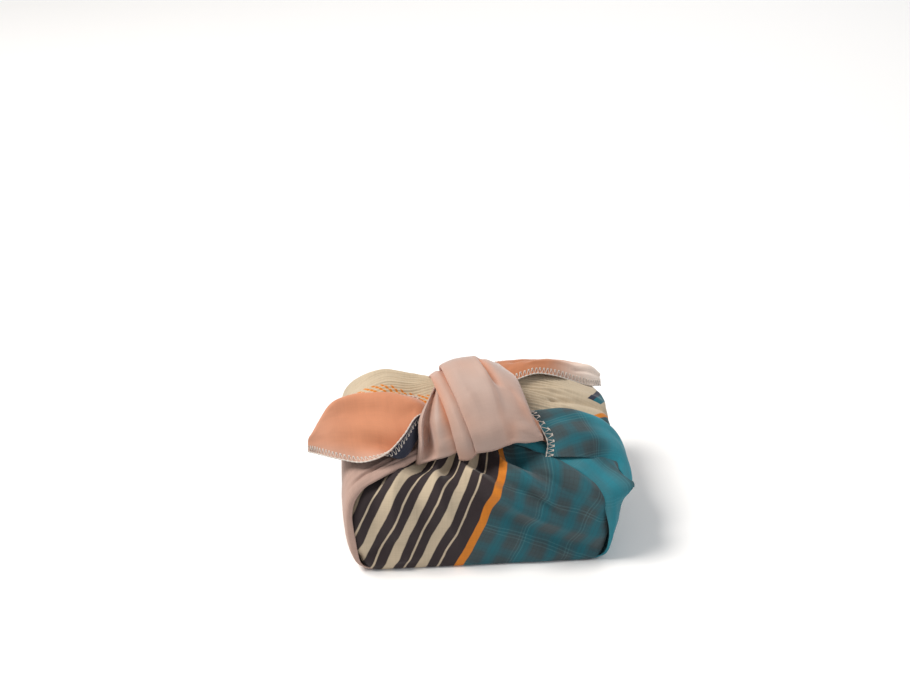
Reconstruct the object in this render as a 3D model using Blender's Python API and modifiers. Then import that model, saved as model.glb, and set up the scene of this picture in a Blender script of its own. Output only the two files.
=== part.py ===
"""A small lunch-box bundle wrapped in one square furoshiki cloth and knotted on top.

The wrap is one piece of cloth, so it is one solid. Its parts overlap and are joined by Boolean
unions: the wrapped bundle, the two strands drawn up over its ends, the knot, two ears and the loose
corner. Tables are in millimetres, as (x, y, z) from the centre of the base: X runs along the
bundle, Y to its back and Z up.
"""

import math

import bmesh
import bpy
from mathutils import Vector

MM = 0.001
CLOTH = 2.0  # the free cloth lies double, with air in its folds
SEAM_WELD = 0.1  # points closer than this along a union's seam are made one
WRAP_COLOUR = (0.09, 0.26, 0.28, 1.0)

# The bundle, ring by ring from the base up: its height, its reach to each side and how far its
# corners are rounded.
BUNDLE_RINGS = (
    {"z": 0, "left": 64, "right": 72, "front": 55, "back": 55, "corner": 12},
    {"z": 2, "left": 67, "right": 75, "front": 58, "back": 58, "corner": 11},
    {"z": 8, "left": 73, "right": 78, "front": 59.5, "back": 60, "corner": 10},
    {"z": 17, "left": 77, "right": 79, "front": 60, "back": 61, "corner": 9},
    {"z": 30, "left": 79, "right": 79.5, "front": 60, "back": 61, "corner": 9},
    {"z": 43, "left": 78, "right": 78, "front": 58.8, "back": 60, "corner": 10},
    {"z": 52, "left": 74, "right": 74, "front": 55, "back": 56.5, "corner": 14},
    {"z": 58, "left": 65, "right": 65, "front": 48, "back": 50, "corner": 20},
    {"z": 62, "left": 52, "right": 52, "front": 39, "back": 41, "corner": 26},
    {"z": 65.5, "left": 36, "right": 36, "front": 28, "back": 30, "corner": 24},
    {"z": 68, "left": 18, "right": 18, "front": 14, "back": 15, "corner": 12},
)

# A strand is the cloth of one end, drawn up over it and in to the knot. Each section across it runs
# from the fold at the front, over the middle, to the fold at the back. "front" and "rear" say how
# boxy its two halves are, and "ear", where there is one, how far it is pinched out near the front.
LEFT_STRAND = (
    {"fold": (-66, -55.5, 1), "middle": (-69, 0, 1), "back": (-65, 57, 1), "front": 5, "rear": 5},
    {"fold": (-71, -60, 8), "middle": (-76, 0, 9), "back": (-72, 60, 8), "front": 5, "rear": 5},
    {"fold": (-77, -61, 24), "middle": (-82, 0, 26), "back": (-78, 62, 24), "front": 5, "rear": 5},
    {"fold": (-77, -60, 42), "middle": (-82, 4, 46), "back": (-77, 61, 42), "front": 4, "rear": 5},
    {"fold": (-73, -56, 53), "middle": (-79, 12, 62), "back": (-73, 58, 53), "front": 2.6, "rear": 4},
    {"fold": (-63, -49, 59.5), "middle": (-68, 20, 76), "back": (-64, 54, 60), "front": 1.7, "rear": 3},
    {"fold": (-50, -42, 63), "middle": (-52, 20, 82), "back": (-50, 50, 62), "front": 1.5, "rear": 3},
    {"fold": (-36, -33, 65), "middle": (-35, 18, 81), "back": (-36, 43, 64), "front": 1.6, "rear": 3},
    {"fold": (-18, -24, 66), "middle": (-17, 14, 80), "back": (-18, 28, 64), "front": 2, "rear": 3},
)
RIGHT_STRAND = (
    {"fold": (73, -55.5, 1), "middle": (76, 0, 1), "back": (72, 57, 1), "front": 5, "rear": 5},
    {"fold": (79, -60, 8), "middle": (81, 0, 9), "back": (78, 61, 8), "front": 5, "rear": 5},
    {"fold": (80, -61, 23), "middle": (84, 0, 26), "back": (80, 62, 24), "front": 5, "rear": 5, "ear": 2},
    {"fold": (77, -60, 38), "middle": (87, 2, 42), "back": (79, 61, 40), "front": 4, "rear": 5, "ear": 6},
    {"fold": (71, -54, 51), "middle": (86, 8, 55), "back": (74, 58, 53), "front": 3, "rear": 4, "ear": 12},
    {"fold": (60, -46, 59.5), "middle": (75, 18, 66), "back": (64, 54, 60), "front": 1.9, "rear": 3, "ear": 4},
    {"fold": (46, -37, 64), "middle": (54, 22, 75), "back": (50, 49, 62), "front": 1.5, "rear": 3},
    {"fold": (32, -30, 66), "middle": (36, 20, 80), "back": (36, 42, 64), "front": 1.6, "rear": 3},
    {"fold": (16, -22, 67), "middle": (16, 16, 81), "back": (17, 28, 64), "front": 2, "rear": 3},
)
LEFT_SPINE = ((-25, 0, 12), (-10, 6, 55))  # where its hidden side closes, inside the bundle
RIGHT_SPINE = ((25, 0, 12), (10, 6, 55))
EAR_AT = 0.2  # where across a section the ear is pinched out
EAR_WIDTH = 0.09
STRAND_PLEATS = 6
PLEAT_DEPTH = 1.5  # at the knot; the pleats die out towards the base

# The knot is a broad pleated band that laps over the strands from back to front. Each row is a line
# of it, from the lip tucked in at the front, over the top, to the tail tucked in at the back; lip
# and tail are (x, z). "raised" says how far it stands proud: cloth steps up where it laps a pleat.
KNOT_FOLDS = (
    {"lip": (-35, 61), "top": (-32, -12, 86), "tail": (-35, 62), "raised": 0},
    {"lip": (-30, 62), "top": (-29, -12, 84), "tail": (-31, 62), "raised": -3},
    {"lip": (-21, 64), "top": (-26, -12, 85), "tail": (-27, 63), "raised": 1},
    {"lip": (-12, 65), "top": (-24, -11, 86), "tail": (-23, 64), "raised": 0},
    {"lip": (-11, 64), "top": (-24, -9, 86), "tail": (-22, 64), "raised": 3},  # narrow pleat
    {"lip": (-6, 63), "top": (-22, -6, 89), "tail": (-16, 65), "raised": 3},
    {"lip": (-1, 66), "top": (-18, -2, 91), "tail": (-12, 65), "raised": 1.5},
    {"lip": (0, 67), "top": (-17, 0, 92), "tail": (-10, 66), "raised": 4},  # broad pleat
    {"lip": (9, 69), "top": (-8, 2, 97), "tail": (0, 66), "raised": 3.5},
    {"lip": (17, 71), "top": (2, 3, 99.5), "tail": (9, 66), "raised": 3},
    {"lip": (22, 72), "top": (8, 3, 95), "tail": (15, 66), "raised": 2.5},  # the pinch on top
    {"lip": (27, 73), "top": (14, 2, 95), "tail": (20, 65), "raised": 2.5},
    {"lip": (34, 74), "top": (22, 0, 92), "tail": (27, 65), "raised": 1.5},
    {"lip": (40, 73), "top": (30, -4, 86), "tail": (34, 64), "raised": 0},
)
KNOT_SPINE = ((-22, 4, 52), (22, 4, 52))
KNOT_FRONT = -34
KNOT_BACK = 44
KNOT_BOX = 2.3  # how boxy its curve over the top is

# Free cloth. Each section runs from the hem at the front to the far edge.
LEFT_EAR = (
    {"hem": (-22, -16, 80), "belly": (-22, -22, 70), "crest": (-22, -3, 85), "edge": (-22, 10, 80)},
    {"hem": (-34, -24, 89), "belly": (-36, -27, 70), "crest": (-32, -4, 87), "edge": (-32, 10, 81)},
    {"hem": (-43, -36, 82), "belly": (-47, -29, 70), "crest": (-48, -3, 88), "edge": (-46, 8, 82)},
    {"hem": (-54, -41, 73), "belly": (-58, -28, 72), "crest": (-60, -2, 89), "edge": (-60, 6, 84)},
    {"hem": (-68, -40, 67), "belly": (-70, -28, 73), "crest": (-73, -3, 89), "edge": (-73, 4, 84)},
    {"hem": (-82, -37, 68), "belly": (-83, -28, 75), "crest": (-85, -9, 88), "edge": (-85, -3, 84)},
    {"hem": (-93, -33, 69), "belly": (-93, -28, 74), "crest": (-94, -19, 82), "edge": (-93, -12, 80)},
    {"hem": (-100, -31, 70), "belly": (-100, -29, 73), "crest": (-99, -25, 77), "edge": (-97, -19, 77)},
)
RIGHT_EAR = (
    {"hem": (18, 10, 82), "belly": (18, 16, 88), "crest": (18, 26, 90), "edge": (18, 36, 84)},
    {"hem": (29, 16, 85), "belly": (29, 22, 89), "crest": (30, 32, 90), "edge": (31, 41, 82)},
    {"hem": (42, 24, 85), "belly": (43, 30, 87), "crest": (44, 40, 88), "edge": (45, 48, 79)},
    {"hem": (55, 28, 80), "belly": (56, 36, 83), "crest": (57, 46, 84), "edge": (58, 53, 76)},
    {"hem": (68, 32, 71), "belly": (69, 40, 77), "crest": (70, 49, 79), "edge": (70, 55, 72)},
    {"hem": (79, 38, 64), "belly": (80, 43, 70), "crest": (81, 50, 74), "edge": (79, 56, 68)},
    {"hem": (88, 44, 61), "belly": (88, 46, 64), "crest": (88, 49, 67), "edge": (87, 52, 65)},
)
CORNER = (
    {"hem": (43, -35, 66), "belly": (44, -28, 73), "crest": (38, -16, 80), "edge": (36, -4, 77)},
    {"hem": (54, -37, 67), "belly": (54, -26, 74), "crest": (53, -13, 78), "edge": (52, 2, 76)},
    {"hem": (66, -37, 67), "belly": (67, -25, 72), "crest": (68, -11, 74), "edge": (69, 5, 70)},
    {"hem": (77, -35, 61), "belly": (81, -24, 66), "crest": (83, -9, 66), "edge": (83, 8, 62)},
    {"hem": (86, -32, 53), "belly": (92, -24, 57), "crest": (94, -8, 54), "edge": (91, 10, 49)},
    {"hem": (90, -28, 44), "belly": (98, -22, 46), "crest": (97, -6, 44), "edge": (92, 10, 40)},
    {"hem": (88, -24, 34), "belly": (93, -18, 36), "crest": (93, -6, 35), "edge": (89, 6, 32)},
)


def through(points, share):
    """The point at this share of the way along a smooth curve that passes through the points."""
    last = len(points) - 1
    place = min(max(share, 0.0), 1.0) * last
    i = min(int(place), last - 1)
    t = place - i
    a, b = points[i], points[i + 1]
    before = points[i - 1] if i else a * 2 - b
    after = points[i + 2] if i + 2 <= last else b * 2 - a
    return (
        a * 2
        + (b - before) * t
        + (before * 2 - a * 5 + b * 4 - after) * t**2
        + (a * 3 - before - b * 3 + after) * t**3
    ) / 2


def column(rows, name, share):
    """A table's column read as a smooth curve: a point, or one number of the point's x."""
    values = [row.get(name, 0) for row in rows]
    if isinstance(values[0], tuple):
        return through([Vector(value).to_3d() for value in values], share)
    return through([Vector((value, 0, 0)) for value in values], share).x


def bundle_point(along, around):
    """The bundle: up the rings, and once round each ring from the middle of its front."""
    reach = {name: column(BUNDLE_RINGS, name, along) for name in BUNDLE_RINGS[0]}
    quarter = min(int(around * 4), 3)
    turn = around * 4 - quarter
    to_side = turn if quarter in (0, 2) else 1 - turn
    half_x = reach["right"] if quarter in (0, 1) else reach["left"]
    half_y = reach["front"] if quarter in (0, 3) else reach["back"]
    corner = reach["corner"]
    if to_side < 0.45:
        x, y = (half_x - corner) * to_side / 0.45, half_y
    elif to_side < 0.7:
        angle = math.pi / 2 * (to_side - 0.45) / 0.25
        x = half_x - corner + corner * math.sin(angle)
        y = half_y - corner + corner * math.cos(angle)
    else:
        x, y = half_x, (half_y - corner) * (1 - to_side) / 0.3
    return Vector((
        x if quarter in (0, 1) else -x,
        -y if quarter in (0, 3) else y,
        reach["z"],
    ))


def strand_point(rows, along, across):
    middle = column(rows, "middle", along)
    edge = column(rows, "fold" if across < 0.5 else "back", along)
    power = 2 / column(rows, "front" if across < 0.5 else "rear", along)
    angle = math.pi * (across if across < 0.5 else 1 - across)
    sideways = math.cos(angle) ** power if across != 0.5 else 0.0
    outward = math.sin(angle) ** power
    corner = Vector((edge.x, middle.y, edge.z))
    point = corner + (edge - corner) * sideways + (middle - corner) * outward
    ear = column(rows, "ear", along)
    point.x += ear * math.exp(-(((across - EAR_AT) / EAR_WIDTH) ** 2)) * math.copysign(1, point.x)
    fade = along**1.5 * math.sin(math.pi * across)
    point.z += PLEAT_DEPTH * fade * math.sin(2 * math.pi * STRAND_PLEATS * across)
    return point


def knot_point(along, across):
    """The knot: along runs from its left edge to its right edge, across from lip to tail."""
    lip = column(KNOT_FOLDS, "lip", along)
    top = column(KNOT_FOLDS, "top", along)
    tail = column(KNOT_FOLDS, "tail", along)
    raised = column(KNOT_FOLDS, "raised", along)
    in_front = across < 0.5
    low = Vector((lip.x, KNOT_FRONT, lip.y)) if in_front else Vector((tail.x, KNOT_BACK, tail.y))
    turn = across * 2 if in_front else 2 - across * 2
    outward = max(math.cos(math.pi / 2 * turn), 0.0) ** (2 / KNOT_BOX)
    rise = math.sin(math.pi / 2 * turn) ** (2 / KNOT_BOX)
    point = Vector((0, top.y, low.z))
    point.x = low.x + (top.x - low.x) * turn
    point.y += (low.y - top.y) * outward + math.copysign(raised, low.y) * outward
    point.z += (top.z - low.z) * rise + raised * rise
    return point


def sheet_point(rows, along, across):
    places = ("hem", "belly", "crest", "edge")
    return through([column(rows, place, along) for place in places], across)


def grid(along, across):
    """A flat unit grid, its X for the way along a piece and its Y for the way across it."""
    bpy.ops.mesh.primitive_grid_add(x_subdivisions=along, y_subdivisions=across, size=1)
    return bpy.context.object


def finish(obj, name, collection):
    obj.name = name
    obj.data.name = name
    for old in obj.users_collection:
        old.objects.unlink(obj)
    collection.objects.link(obj)
    return obj


def free_cloth(name, rows, collection, along, across):
    """A thin sheet through the rows, with the thickness of the cloth."""
    obj = grid(along, across)
    for vertex in obj.data.vertices:
        vertex.co = sheet_point(rows, vertex.co.x + 0.5, vertex.co.y + 0.5) * MM
    thick = obj.modifiers.new("cloth", "SOLIDIFY")
    thick.thickness = CLOTH * MM
    thick.offset = 0
    return finish(obj, name, collection)


def close_up(obj):
    """Weld what coincides, fill what is open and turn every face outward."""
    mesh = bmesh.new()
    mesh.from_mesh(obj.data)
    bmesh.ops.remove_doubles(mesh, verts=mesh.verts, dist=0.01 * MM)
    bmesh.ops.dissolve_degenerate(mesh, edges=mesh.edges, dist=0.01 * MM)
    bmesh.ops.holes_fill(mesh, edges=mesh.edges, sides=0)
    bmesh.ops.recalc_face_normals(mesh, faces=mesh.faces)
    mesh.to_mesh(obj.data)
    mesh.free()


def bundle(name, collection, along, around):
    obj = grid(along, around)
    for vertex in obj.data.vertices:
        vertex.co = bundle_point(vertex.co.x + 0.5, vertex.co.y + 0.5) * MM
    close_up(obj)
    return finish(obj, name, collection)


def filled_cloth(name, surface, spine, collection, along, across):
    """The cloth of a surface and all that is under it, closed on a line inside the bundle."""
    obj = grid(along + 2, across + 2)
    start, end = Vector(spine[0]), Vector(spine[1])
    for vertex in obj.data.vertices:
        station = round((vertex.co.x + 0.5) * (along + 2)) - 1
        place = round((vertex.co.y + 0.5) * (across + 2))
        share = min(max(station / along, 0.0), 1.0)
        if place == across + 1 or station in (-1, along + 1):
            point = start.lerp(end, share)
        else:
            point = surface(share, place / across if place <= across else 0.0)
        vertex.co = point * MM
    close_up(obj)
    return finish(obj, name, collection)


def main():
    for obj in list(bpy.data.objects):
        bpy.data.objects.remove(obj)
    scene = bpy.context.scene
    parts = bpy.data.collections.new("furoshiki_wrap")
    helpers = bpy.data.collections.new("joined_parts")
    scene.collection.children.link(parts)
    scene.collection.children.link(helpers)

    wrap = bundle("furoshiki_wrap", parts, 20, 52)
    joined = [
        filled_cloth(
            "left_strand", lambda a, s: strand_point(LEFT_STRAND, a, s), LEFT_SPINE, helpers, 24, 36
        ),
        filled_cloth(
            "right_strand", lambda a, s: strand_point(RIGHT_STRAND, a, s), RIGHT_SPINE, helpers, 24, 36
        ),
        filled_cloth("knot", knot_point, KNOT_SPINE, helpers, 39, 20),
        free_cloth("left_ear", LEFT_EAR, helpers, 18, 11),
        free_cloth("right_ear", RIGHT_EAR, helpers, 15, 9),
        free_cloth("loose_corner", CORNER, helpers, 16, 11),
    ]
    for part in joined:
        union = wrap.modifiers.new(part.name, "BOOLEAN")
        union.operation = "UNION"
        union.solver = "EXACT"
        union.object = part
        part.hide_render = True
        part.display_type = "WIRE"
    weld = wrap.modifiers.new("seams", "WELD")
    weld.merge_threshold = SEAM_WELD * MM

    cloth = bpy.data.materials.new("printed cotton")
    cloth.use_nodes = True
    surface = cloth.node_tree.nodes["Principled BSDF"]
    surface.inputs["Base Color"].default_value = WRAP_COLOUR
    surface.inputs["Roughness"].default_value = 0.85
    surface.inputs["Metallic"].default_value = 0.0
    wrap.data.materials.append(cloth)


main()
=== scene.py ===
"""The looks of a furoshiki wrap: one square of printed cotton, tied once over a lunch box.

Sizes are in millimetres from the middle of the base: X runs along the bundle, Y to its back and Z
up. Each sheet below is a stretch of the same cloth, and its UV map is that stretch laid flat, in
metres.
"""

import math

import bmesh
import bpy
import numpy as np
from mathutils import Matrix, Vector, noise


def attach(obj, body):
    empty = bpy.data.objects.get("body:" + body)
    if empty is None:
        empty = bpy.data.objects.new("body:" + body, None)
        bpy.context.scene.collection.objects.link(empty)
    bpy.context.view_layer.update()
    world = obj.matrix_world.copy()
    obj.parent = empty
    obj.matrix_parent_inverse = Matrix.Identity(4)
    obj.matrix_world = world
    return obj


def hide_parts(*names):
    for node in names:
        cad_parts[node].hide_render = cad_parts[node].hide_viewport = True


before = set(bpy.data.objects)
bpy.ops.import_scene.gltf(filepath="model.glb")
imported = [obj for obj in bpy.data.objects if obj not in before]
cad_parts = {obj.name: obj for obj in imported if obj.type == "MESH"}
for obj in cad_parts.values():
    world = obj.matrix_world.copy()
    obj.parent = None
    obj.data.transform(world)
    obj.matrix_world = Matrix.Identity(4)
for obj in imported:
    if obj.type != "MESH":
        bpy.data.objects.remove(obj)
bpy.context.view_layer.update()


# ----------------------------------------------------------------------------------------------
# The body of the bundle: the middle of the cloth, under the box and up its front and back. It is
# plain-woven cotton with a printed right side. Nothing holds it but the pull of the knot, which
# draws soft diagonal folds across the front.
# ----------------------------------------------------------------------------------------------

MM = 0.001
THICK = 0.8  # the cloth, with the air that a loose cotton holds
MEASURE_STEPS = 60  # a length along a curve is measured in this many steps


def table(columns, *rows):
    """Rows of sizes, each size under the name of its column."""
    return tuple(dict(zip(columns.split(), row)) for row in rows)


# Ring by ring from the middle of the base up to the knot: the height, the reach to each side, and
# how far the corners are rounded.
BODY_RINGS = table(
    "z left right front back corner",
    (0, 4, 4, 4, 4, 2),
    (0, 32, 36, 27, 27, 7),
    (0, 52, 58, 45, 45, 9),
    (0, 62, 69, 53.5, 53.5, 9),
    (0.2, 67, 74, 57.8, 57.6, 8.5),
    (1.5, 69.5, 76.2, 59.4, 59.2, 8.5),
    (5, 71.8, 77.5, 60, 60, 9),
    (10, 74.5, 78.3, 60.3, 60.6, 9),
    (18, 77, 79, 60.2, 61, 9),
    (30, 79, 79.5, 60, 61, 9),
    (43, 78, 78, 58.8, 60, 10),
    (52, 74, 74, 55, 56.5, 14),
    (58, 65, 65, 48, 50, 20),
    (62, 52, 52, 39, 41, 26),
    (65.5, 36, 36, 28, 30, 24),
    (68, 18, 18, 14, 15, 12),
)
# The shares of a quarter of a ring that its long side, its corner and its short side take up.
LONG_SHARE, CORNER_SHARE, SHORT_SHARE = 0.45, 0.25, 0.3
BASE_ROW = 4  # the row where the base ends, from which the flat height is measured
BODY_DEPTH = 118  # the flat length of the base from front to back
BODY_HALF = 78  # half the flat width of the front
# Over this rise from this height, the cloth draws together by this share.
GATHERED_FROM, GATHERED_OVER, GATHERED = 46, 22, 0.55

# A crease on the flat cloth bends from one place towards a second and on to a third. A ridge has a
# positive depth. A row of pleats starts at one height and is at its full depth at another.
CREASE = "from over to wide deep"
PLEATS = "from to folds deep start full"
BODY_CREASES = table(
    CREASE,
    ((-26, 86), (-14, 40), (74, 4), 6, -4.4),
    ((-16, 86), (-2, 48), (86, 16), 4, 4.4),
    ((-2, 86), (8, 56), (74, 24), 5, -4.4),
    ((12, 88), (26, 62), (64, 26), 3.4, 4.2),
    ((24, 88), (38, 64), (74, 30), 4.5, -4.4),
    ((34, 88), (52, 68), (86, 30), 3.2, 3.6),
    ((-34, 88), (-26, 62), (-6, 6), 3.6, 2.4),
    ((-42, 86), (-40, 60), (-22, 4), 5, -2.6),
    ((-50, 80), (-54, 54), (-44, 4), 3.6, 2.2),
    ((-60, 72), (-66, 46), (-58, 4), 4.5, -2.2),
    ((-58, 76), (0, 69), (68, 82), 7, -5.5),
    ((-78, 6), (-62, 20), (-36, 24), 4.5, -1.6),
    ((-70, 2), (-52, 10), (-30, 12), 3.5, 1.1),
    ((76, 6), (56, 17), (24, 20), 5, -1.5),
    ((30, 0), (44, 8), (66, 8), 3, 1.0),
    ((-20, -204), (-44, -176), (-82, -126), 6, -3.0),
    ((-30, -204), (-58, -180), (-84, -150), 5, 2.0),
    ((12, -204), (30, -180), (82, -126), 6, -2.8),
    ((24, -204), (50, -184), (84, -156), 5, 2.0),
    ((0, -204), (-6, -176), (-24, -130), 5, 1.8),
)
BODY_GATHERS = table(PLEATS, (-66, 26, 9, 1.2, 54, 84))  # under the knot


def through(points, share):
    """The point at this share of the way along a smooth curve that passes through the points."""
    last = len(points) - 1
    place = min(max(share, 0.0), 1.0) * last
    i = min(int(place), last - 1)
    t = place - i
    a, b = points[i], points[i + 1]
    before = points[i - 1] if i else a * 2 - b
    after = points[i + 2] if i + 2 <= last else b * 2 - a
    return (
        a * 2
        + (b - before) * t
        + (before * 2 - a * 5 + b * 4 - after) * t**2
        + (a * 3 - before - b * 3 + after) * t**3
    ) / 2


def section(rows, share):
    """A table read at one share of its length, each column as a smooth curve through its rows."""
    read = {}
    for name in rows[0]:
        values = [row[name] for row in rows]
        if isinstance(values[0], tuple):
            read[name] = through([Vector(value).to_3d() for value in values], share)
        else:
            read[name] = through([Vector((value, 0, 0)) for value in values], share).x
    return read


def body_point(ring, share):
    """Once round a ring: from the middle of the right end, over the back and left to the front."""
    around = (share + 0.25) % 1
    quarter = min(int(around * 4), 3)
    turn = around * 4 - quarter
    to_side = turn if quarter in (0, 2) else 1 - turn
    half_x = ring["right"] if quarter in (0, 1) else ring["left"]
    half_y = ring["front"] if quarter in (0, 3) else ring["back"]
    corner = ring["corner"]
    if to_side < LONG_SHARE:
        x, y = (half_x - corner) * to_side / LONG_SHARE, half_y
    elif to_side < LONG_SHARE + CORNER_SHARE:
        angle = math.pi / 2 * (to_side - LONG_SHARE) / CORNER_SHARE
        x = half_x - corner + corner * math.sin(angle)
        y = half_y - corner + corner * math.cos(angle)
    else:
        x, y = half_x, (half_y - corner) * (1 - to_side) / SHORT_SHARE
    return Vector((x if quarter in (0, 1) else -x, -y if quarter in (0, 3) else y, ring["z"]))


def lay(name, rows, point, along, across, wide=0, centre=0.5, flat_place=None):
    """A sheet on point(section, share); returns it and each vertex's place on the flat cloth.

    The flat length is measured at the centre share. The flat width is spread as the sheet's own is,
    unless flat_place gives the places.
    """
    bpy.ops.object.select_all(action="DESELECT")
    bpy.ops.mesh.primitive_grid_add(x_subdivisions=along, y_subdivisions=across, size=1)
    obj = bpy.context.object
    obj.name = obj.data.name = name
    sections = [section(rows, i / along) for i in range(along + 1)]
    middle = [point(read, centre) for read in sections]
    length = [0.0]
    for before, after in zip(middle, middle[1:]):
        length.append(length[-1] + (after - before).length)
    flat = np.zeros((len(obj.data.vertices), 2))
    shares = np.linspace(0, 1, MEASURE_STEPS + 1)
    reach = {}
    for vertex in obj.data.vertices:
        i = round((vertex.co.x + 0.5) * along)
        share = vertex.co.y + 0.5
        vertex.co = point(sections[i], share) * MM
        if flat_place:
            flat[vertex.index] = flat_place(sections[i], share, length[i], vertex.co / MM)
            continue
        if i not in reach:
            places = [point(sections[i], k / MEASURE_STEPS) for k in range(MEASURE_STEPS + 1)]
            steps = [(after - before).length for before, after in zip(places, places[1:])]
            reach[i] = np.concatenate([[0], np.cumsum(steps)]) / sum(steps)
        u = np.interp(share, shares, reach[i])
        flat[vertex.index] = ((u - 0.5) * wide, length[i])
    layer = obj.data.uv_layers.active
    layer.name = "flat"
    for loop in obj.data.loops:
        layer.uv[loop.index].vector = flat[loop.vertex_index] * MM
    return obj, flat


CREASE_STEPS = 14  # the straight steps that stand for a crease's curve
# A crease starts at a share of its depth, grows to all of it over the first part of its length, and
# dies out over the last part. It widens as it goes.
START_DEPTH, GROWS_OVER, DIES_OVER = 0.3, 0.12, 0.3
START_WIDE, WIDENS = 0.75, 0.5


def crease_heights(flat, creases):
    """How far each place of the flat cloth is lifted or sunk by its creases."""
    height = np.zeros(len(flat))
    for crease in creases:
        a, b, c = (np.array(crease[name], float) for name in ("from", "over", "to"))
        nearest = np.full(len(flat), np.inf)
        along = np.zeros(len(flat))
        for k in range(CREASE_STEPS):
            t0, t1 = k / CREASE_STEPS, (k + 1) / CREASE_STEPS
            p0 = a * (1 - t0) ** 2 + b * 2 * t0 * (1 - t0) + c * t0**2
            p1 = a * (1 - t1) ** 2 + b * 2 * t1 * (1 - t1) + c * t1**2
            part = np.clip(((flat - p0) @ (p1 - p0)) / ((p1 - p0) @ (p1 - p0)), 0, 1)
            away = np.linalg.norm(flat - p0 - part[:, None] * (p1 - p0), axis=1)
            closer = away < nearest
            nearest = np.where(closer, away, nearest)
            along = np.where(closer, (k + part) / CREASE_STEPS, along)
        fade = np.clip(along / GROWS_OVER, START_DEPTH, 1) * np.clip((1 - along) / DIES_OVER, 0, 1)
        wide = crease["wide"] * (START_WIDE + WIDENS * along)
        height += crease["deep"] * fade * np.exp(-((nearest / wide) ** 2))
    return height


PLEAT_EDGE = 0.12  # the share at each end of a row of pleats over which they grow
PLEAT_GROWTH = 1.3  # how late they grow towards the knot
PLEAT_MIDDLE = 0.6  # the level of the cloth between the top and the bottom of a pleat
# They wander along their length and from one to the next: how far, and how often.
WANDER_LONG, WANDER_EVERY, WANDER_LEAN = 0.5, 17, 9
WANDER_ACROSS, WANDER_TIMES = 0.8, 13


def gather_heights(flat, gathers):
    """The rows of small pleats where cloth is drawn together, round on top and sharp between."""
    height = np.zeros(len(flat))
    for row in gathers:
        share = (flat[:, 0] - row["from"]) / (row["to"] - row["from"])
        window = np.clip(np.minimum(share, 1 - share) / PLEAT_EDGE, 0, 1)
        grown = np.clip((flat[:, 1] - row["start"]) / (row["full"] - row["start"]), 0, 1)
        wander = WANDER_LONG * np.sin(flat[:, 1] / WANDER_EVERY + share * WANDER_LEAN)
        wander = wander + WANDER_ACROSS * np.sin(share * WANDER_TIMES + row["folds"])
        wave = np.abs(np.cos(math.pi * (row["folds"] * share) + wander))
        height += row["deep"] * window * grown**PLEAT_GROWTH * (wave - PLEAT_MIDDLE)
    return height


# The unevenness: how far apart the dents of each kind are, how deep, and a number of their own.
DENTS = ((34, 1.6, 0), (13, 0.8, 5), (5, 0.3, 9))
RESTS_TO, FREE_OVER = 0.3, 7  # a sheet lies still to this height, and is free this much further up


def press(obj, flat, creases=(), gathers=(), uneven=0.3, seed=0.0, rests=False):
    """Moves each point of a sheet along its normal by its creases, gathers and unevenness.

    Where the sheet rests on the table it stays as it is. Returns how far each point has moved.
    """
    mesh = obj.data
    height = crease_heights(flat, creases) + gather_heights(flat, gathers)
    for i, (u, v) in enumerate(flat):
        for apart, deep, own in DENTS:
            height[i] += uneven * deep * noise.noise(Vector((u / apart, v / apart, seed + own)))
    places = np.empty(len(mesh.vertices) * 3)
    normals = np.empty(len(mesh.vertices) * 3)
    mesh.vertices.foreach_get("co", places)
    mesh.vertex_normals.foreach_get("vector", normals)
    if rests:
        height *= np.clip((places[2::3] / MM - RESTS_TO) / FREE_OVER, 0, 1)
    places += normals * np.repeat(height, 3) * MM
    mesh.vertices.foreach_set("co", places)
    mesh.update()
    return height


def face_out(obj, inside):
    """Turns the sheet so that its right side looks away from a point under it."""
    mesh = obj.data
    centre = Vector(inside) * MM
    if sum(face.normal.dot(face.center - centre) * face.area for face in mesh.polygons) < 0:
        mesh.flip_normals()
        mesh.update()


def pick(obj):
    """Selects one object and nothing else."""
    bpy.ops.object.select_all(action="DESELECT")
    obj.select_set(True)
    bpy.context.view_layer.objects.active = obj


def give_thickness(obj, materials, thick=THICK, weld=False, wrong_side=0):
    """Adds the cloth's thickness under its right side and finishes the mesh.

    A weld closes the sheet into a ring. The wrong side takes the material of that number.
    """
    mesh = obj.data
    if weld:
        work = bmesh.new()
        work.from_mesh(mesh)
        bmesh.ops.remove_doubles(work, verts=work.verts, dist=0.01 * MM)
        work.to_mesh(mesh)
        work.free()
    for material in materials:
        mesh.materials.append(material)
    pick(obj)
    cloth = obj.modifiers.new("cloth", "SOLIDIFY")
    cloth.thickness = thick * MM
    cloth.offset = -1
    cloth.material_offset = wrong_side
    bpy.ops.object.modifier_apply(modifier="cloth")
    bpy.ops.object.shade_smooth()
    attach(obj, "root")
    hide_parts("furoshiki_wrap")


def linear(colour):
    """An sRGB hex colour as linear RGBA."""
    parts = [int(colour[i : i + 2], 16) / 255 for i in (1, 3, 5)]
    return (*(c / 12.92 if c <= 0.04045 else ((c + 0.055) / 1.055) ** 2.4 for c in parts), 1.0)


def add(tree, kind, inputs, out=0, **settings):
    """One node with its settings, its inputs linked or set; returns one of its outputs."""
    node = tree.nodes.new(kind)
    for name, value in settings.items():
        setattr(node, name, value)
    for socket, value in inputs.items():
        if isinstance(value, bpy.types.NodeSocket):
            tree.links.new(value, node.inputs[socket])
        else:
            node.inputs[socket].default_value = value
    return node.outputs[out]


def numbers(tree, operation, *values, **settings):
    """The result of a Math node."""
    return add(tree, "ShaderNodeMath", dict(enumerate(values)), operation=operation, **settings)


def product(tree, one, other):
    return numbers(tree, "MULTIPLY", one, other)


def vectors(tree, operation, *values):
    """The result of a Vector Math node."""
    return add(tree, "ShaderNodeVectorMath", dict(enumerate(values)), operation=operation)


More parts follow.
